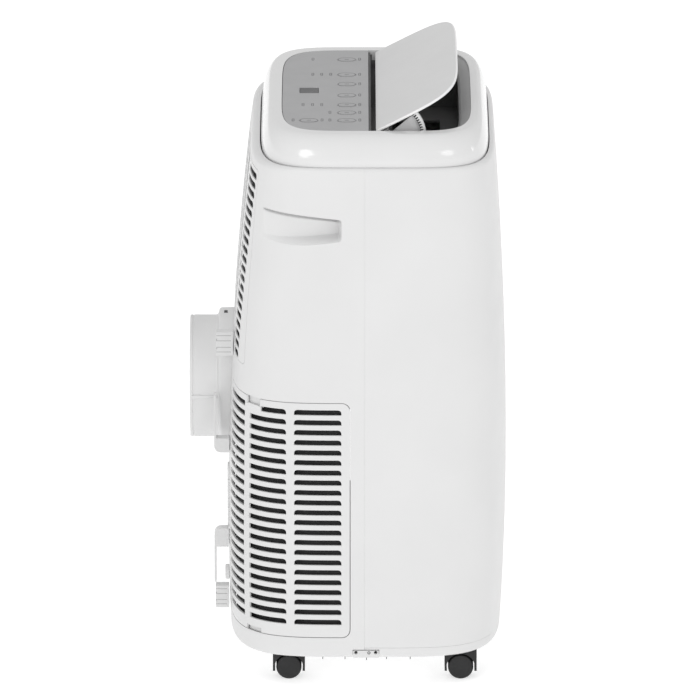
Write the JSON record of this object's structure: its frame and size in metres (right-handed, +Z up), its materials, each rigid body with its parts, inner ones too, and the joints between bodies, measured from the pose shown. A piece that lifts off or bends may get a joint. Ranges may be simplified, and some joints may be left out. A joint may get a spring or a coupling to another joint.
{
  "type": "portable air conditioner",
  "caption": "Upright portable air conditioner on swivel casters, with a top outlet flap, key panel, side and rear grilles and a rear exhaust collar.",
  "frame": {"origin": "on the floor under the middle of the overall box", "axes": "+Z up, -Y towards the bowed front panel, +X towards the left side as the unit faces forwards"},
  "size_m": [0.467, 0.429, 0.828],
  "materials": {
    "white_plastic": "fine satin moulded plastic",
    "gloss_white_plastic": "polished white plastic",
    "flap_plastic": "smooth light grey plastic",
    "silver_film": "silver-grey printed film",
    "dark_plastic": "dark moulded plastic",
    "black_plastic": "black moulded plastic",
    "display_lens": "smoked window",
    "filter_mesh": "fine woven plastic mesh",
    "circuit_board": "green laminate",
    "aluminium_fin": "thin bare fins",
    "copper": "bare copper tube",
    "painted_steel": "black painted steel",
    "zinc_steel": "zinc-plated steel"
  },
  "bodies": {
    "casing": {"base_pan": "white_plastic", "front_shell": "white_plastic", "rear_shell": "white_plastic", "top_bezel": "gloss_white_plastic", "control_fascia": "silver_film", "display_window": "display_lens", "control_board": "circuit_board", "outlet_frame": "white_plastic", "outlet_duct": "dark_plastic", "flap_motor": "zinc_steel", "exhaust_duct": "dark_plastic", "cord_hook_upper": "white_plastic", "cord_hook_lower": "white_plastic", "cord_outlet": "white_plastic", "plug_socket": "white_plastic", "casing_screw_1": "zinc_steel", "casing_screw_2": "zinc_steel", "casing_screw_3": "zinc_steel", "casing_screw_4": "zinc_steel", "mid_deck": "white_plastic", "evaporator_coil": "aluminium_fin", "condenser_coil": "aluminium_fin", "blower_motor": "painted_steel", "condenser_motor": "painted_steel", "compressor": "painted_steel", "refrigerant_pipes": "copper"},
    "flap": {"outlet_flap": "flap_plastic", "flap_shaft": "zinc_steel", "flap_gear_sector": "white_plastic"},
    "pinion": {"flap_pinion": "dark_plastic"},
    "upper_cover": {"upper_filter_cover": "white_plastic", "upper_filter_mesh": "filter_mesh"},
    "right_grille": {"lower_grille_right": "white_plastic", "lower_filter_right": "filter_mesh"},
    "left_grille": {"lower_grille_left": "white_plastic", "lower_filter_left": "filter_mesh"},
    "adaptor": {"hose_adaptor": "white_plastic"},
    "drain_plug": {"drain_cap": "white_plastic"},
    "blower": {"blower_wheel": "white_plastic"},
    "lower_fan": {"condenser_fan": "white_plastic"},
    "key_1": {"key_1": "silver_film"},
    "key_2": {"key_2": "silver_film"},
    "key_3": {"key_3": "silver_film"},
    "key_4": {"key_4": "silver_film"},
    "key_5": {"key_5": "silver_film"},
    "key_6": {"key_6": "silver_film"},
    "key_7": {"key_7": "silver_film"},
    "key_power": {"key_power": "silver_film"},
    "front_right_swivel": {"caster_front_right_hood": "black_plastic"},
    "front_right_wheels": {"caster_front_right_wheels": "black_plastic", "caster_front_right_axle": "zinc_steel"},
    "front_left_swivel": {"caster_front_left_hood": "black_plastic"},
    "front_left_wheels": {"caster_front_left_wheels": "black_plastic", "caster_front_left_axle": "zinc_steel"},
    "rear_right_swivel": {"caster_rear_right_hood": "black_plastic"},
    "rear_right_wheels": {"caster_rear_right_wheels": "black_plastic", "caster_rear_right_axle": "zinc_steel"},
    "rear_left_swivel": {"caster_rear_left_hood": "black_plastic"},
    "rear_left_wheels": {"caster_rear_left_wheels": "black_plastic", "caster_rear_left_axle": "zinc_steel"}
  },
  "joints": [
    {"name": "flap_hinge", "type": "hinge", "parent": "casing", "child": "flap", "pos_m": [0, -0.0514, 0.759], "axis": [-1, 0, 0], "range_deg": [-27.5, 26.5]},
    {"name": "pinion_spin", "type": "hinge", "parent": "casing", "child": "pinion", "pos_m": [-0.172, -0.08703, 0.73405], "axis": [-1, 0, 0], "range_deg": [-268, 258]},
    {"name": "key_1_press", "type": "slide", "parent": "casing", "child": "key_1", "axis": [0, 0, -1], "range_m": [0, 0.0008], "stiffness_N_per_m": 1000, "springref_m": -0.0005},
    {"name": "key_2_press", "type": "slide", "parent": "casing", "child": "key_2", "axis": [0, 0, -1], "range_m": [0, 0.0008], "stiffness_N_per_m": 1000, "springref_m": -0.0005},
    {"name": "key_3_press", "type": "slide", "parent": "casing", "child": "key_3", "axis": [0, 0, -1], "range_m": [0, 0.0008], "stiffness_N_per_m": 1000, "springref_m": -0.0005},
    {"name": "key_4_press", "type": "slide", "parent": "casing", "child": "key_4", "axis": [0, 0, -1], "range_m": [0, 0.0008], "stiffness_N_per_m": 1000, "springref_m": -0.0005},
    {"name": "key_5_press", "type": "slide", "parent": "casing", "child": "key_5", "axis": [0, 0, -1], "range_m": [0, 0.0008], "stiffness_N_per_m": 1000, "springref_m": -0.0005},
    {"name": "key_6_press", "type": "slide", "parent": "casing", "child": "key_6", "axis": [0, 0, -1], "range_m": [0, 0.0008], "stiffness_N_per_m": 1000, "springref_m": -0.0005},
    {"name": "key_7_press", "type": "slide", "parent": "casing", "child": "key_7", "axis": [0, 0, -1], "range_m": [0, 0.0008], "stiffness_N_per_m": 1000, "springref_m": -0.0005},
    {"name": "key_power_press", "type": "slide", "parent": "casing", "child": "key_power", "axis": [0, 0, -1], "range_m": [0, 0.0008], "stiffness_N_per_m": 1000, "springref_m": -0.0005},
    {"name": "upper_cover_pull", "type": "slide", "parent": "casing", "child": "upper_cover", "axis": [0, 1, 0], "range_m": [0, 0.08]},
    {"name": "right_grille_pull", "type": "slide", "parent": "casing", "child": "right_grille", "axis": [-1, 0, 0], "range_m": [0, 0.06]},
    {"name": "left_grille_pull", "type": "slide", "parent": "casing", "child": "left_grille", "axis": [1, 0, 0], "range_m": [0, 0.06]},
    {"name": "adaptor_pull", "type": "slide", "parent": "casing", "child": "adaptor", "axis": [0, 1, 0], "range_m": [0, 0.05]},
    {"name": "drain_plug_pull", "type": "slide", "parent": "casing", "child": "drain_plug", "axis": [0, 1, 0], "range_m": [0, 0.03]},
    {"name": "blower_spin", "type": "hinge", "parent": "casing", "child": "blower", "pos_m": [0, 0.03, 0.575], "axis": [0, 1, 0], "continuous": true},
    {"name": "lower_fan_spin", "type": "hinge", "parent": "casing", "child": "lower_fan", "pos_m": [0, 0.03, 0.18], "axis": [0, 1, 0], "continuous": true},
    {"name": "front_right_swivel_turn", "type": "hinge", "parent": "casing", "child": "front_right_swivel", "pos_m": [-0.188, -0.1525, 0.05], "axis": [0, 0, 1], "continuous": true},
    {"name": "front_right_wheel_roll", "type": "hinge", "parent": "front_right_swivel", "child": "front_right_wheels", "pos_m": [-0.188, -0.1525, 0.01716], "axis": [1, 0, 0], "continuous": true},
    {"name": "front_left_swivel_turn", "type": "hinge", "parent": "casing", "child": "front_left_swivel", "pos_m": [0.188, -0.1525, 0.05], "axis": [0, 0, 1], "continuous": true},
    {"name": "front_left_wheel_roll", "type": "hinge", "parent": "front_left_swivel", "child": "front_left_wheels", "pos_m": [0.188, -0.1525, 0.01716], "axis": [1, 0, 0], "continuous": true},
    {"name": "rear_right_swivel_turn", "type": "hinge", "parent": "casing", "child": "rear_right_swivel", "pos_m": [-0.188, 0.08, 0.05], "axis": [0, 0, 1], "continuous": true},
    {"name": "rear_right_wheel_roll", "type": "hinge", "parent": "rear_right_swivel", "child": "rear_right_wheels", "pos_m": [-0.188, 0.08, 0.01716], "axis": [1, 0, 0], "continuous": true},
    {"name": "rear_left_swivel_turn", "type": "hinge", "parent": "casing", "child": "rear_left_swivel", "pos_m": [0.188, 0.08, 0.05], "axis": [0, 0, 1], "continuous": true},
    {"name": "rear_left_wheel_roll", "type": "hinge", "parent": "rear_left_swivel", "child": "rear_left_wheels", "pos_m": [0.188, 0.08, 0.01716], "axis": [1, 0, 0], "continuous": true}
  ],
  "couplings": [
    {"joint": "pinion_spin", "follows": "flap_hinge", "ratio": 9.7}
  ]
}
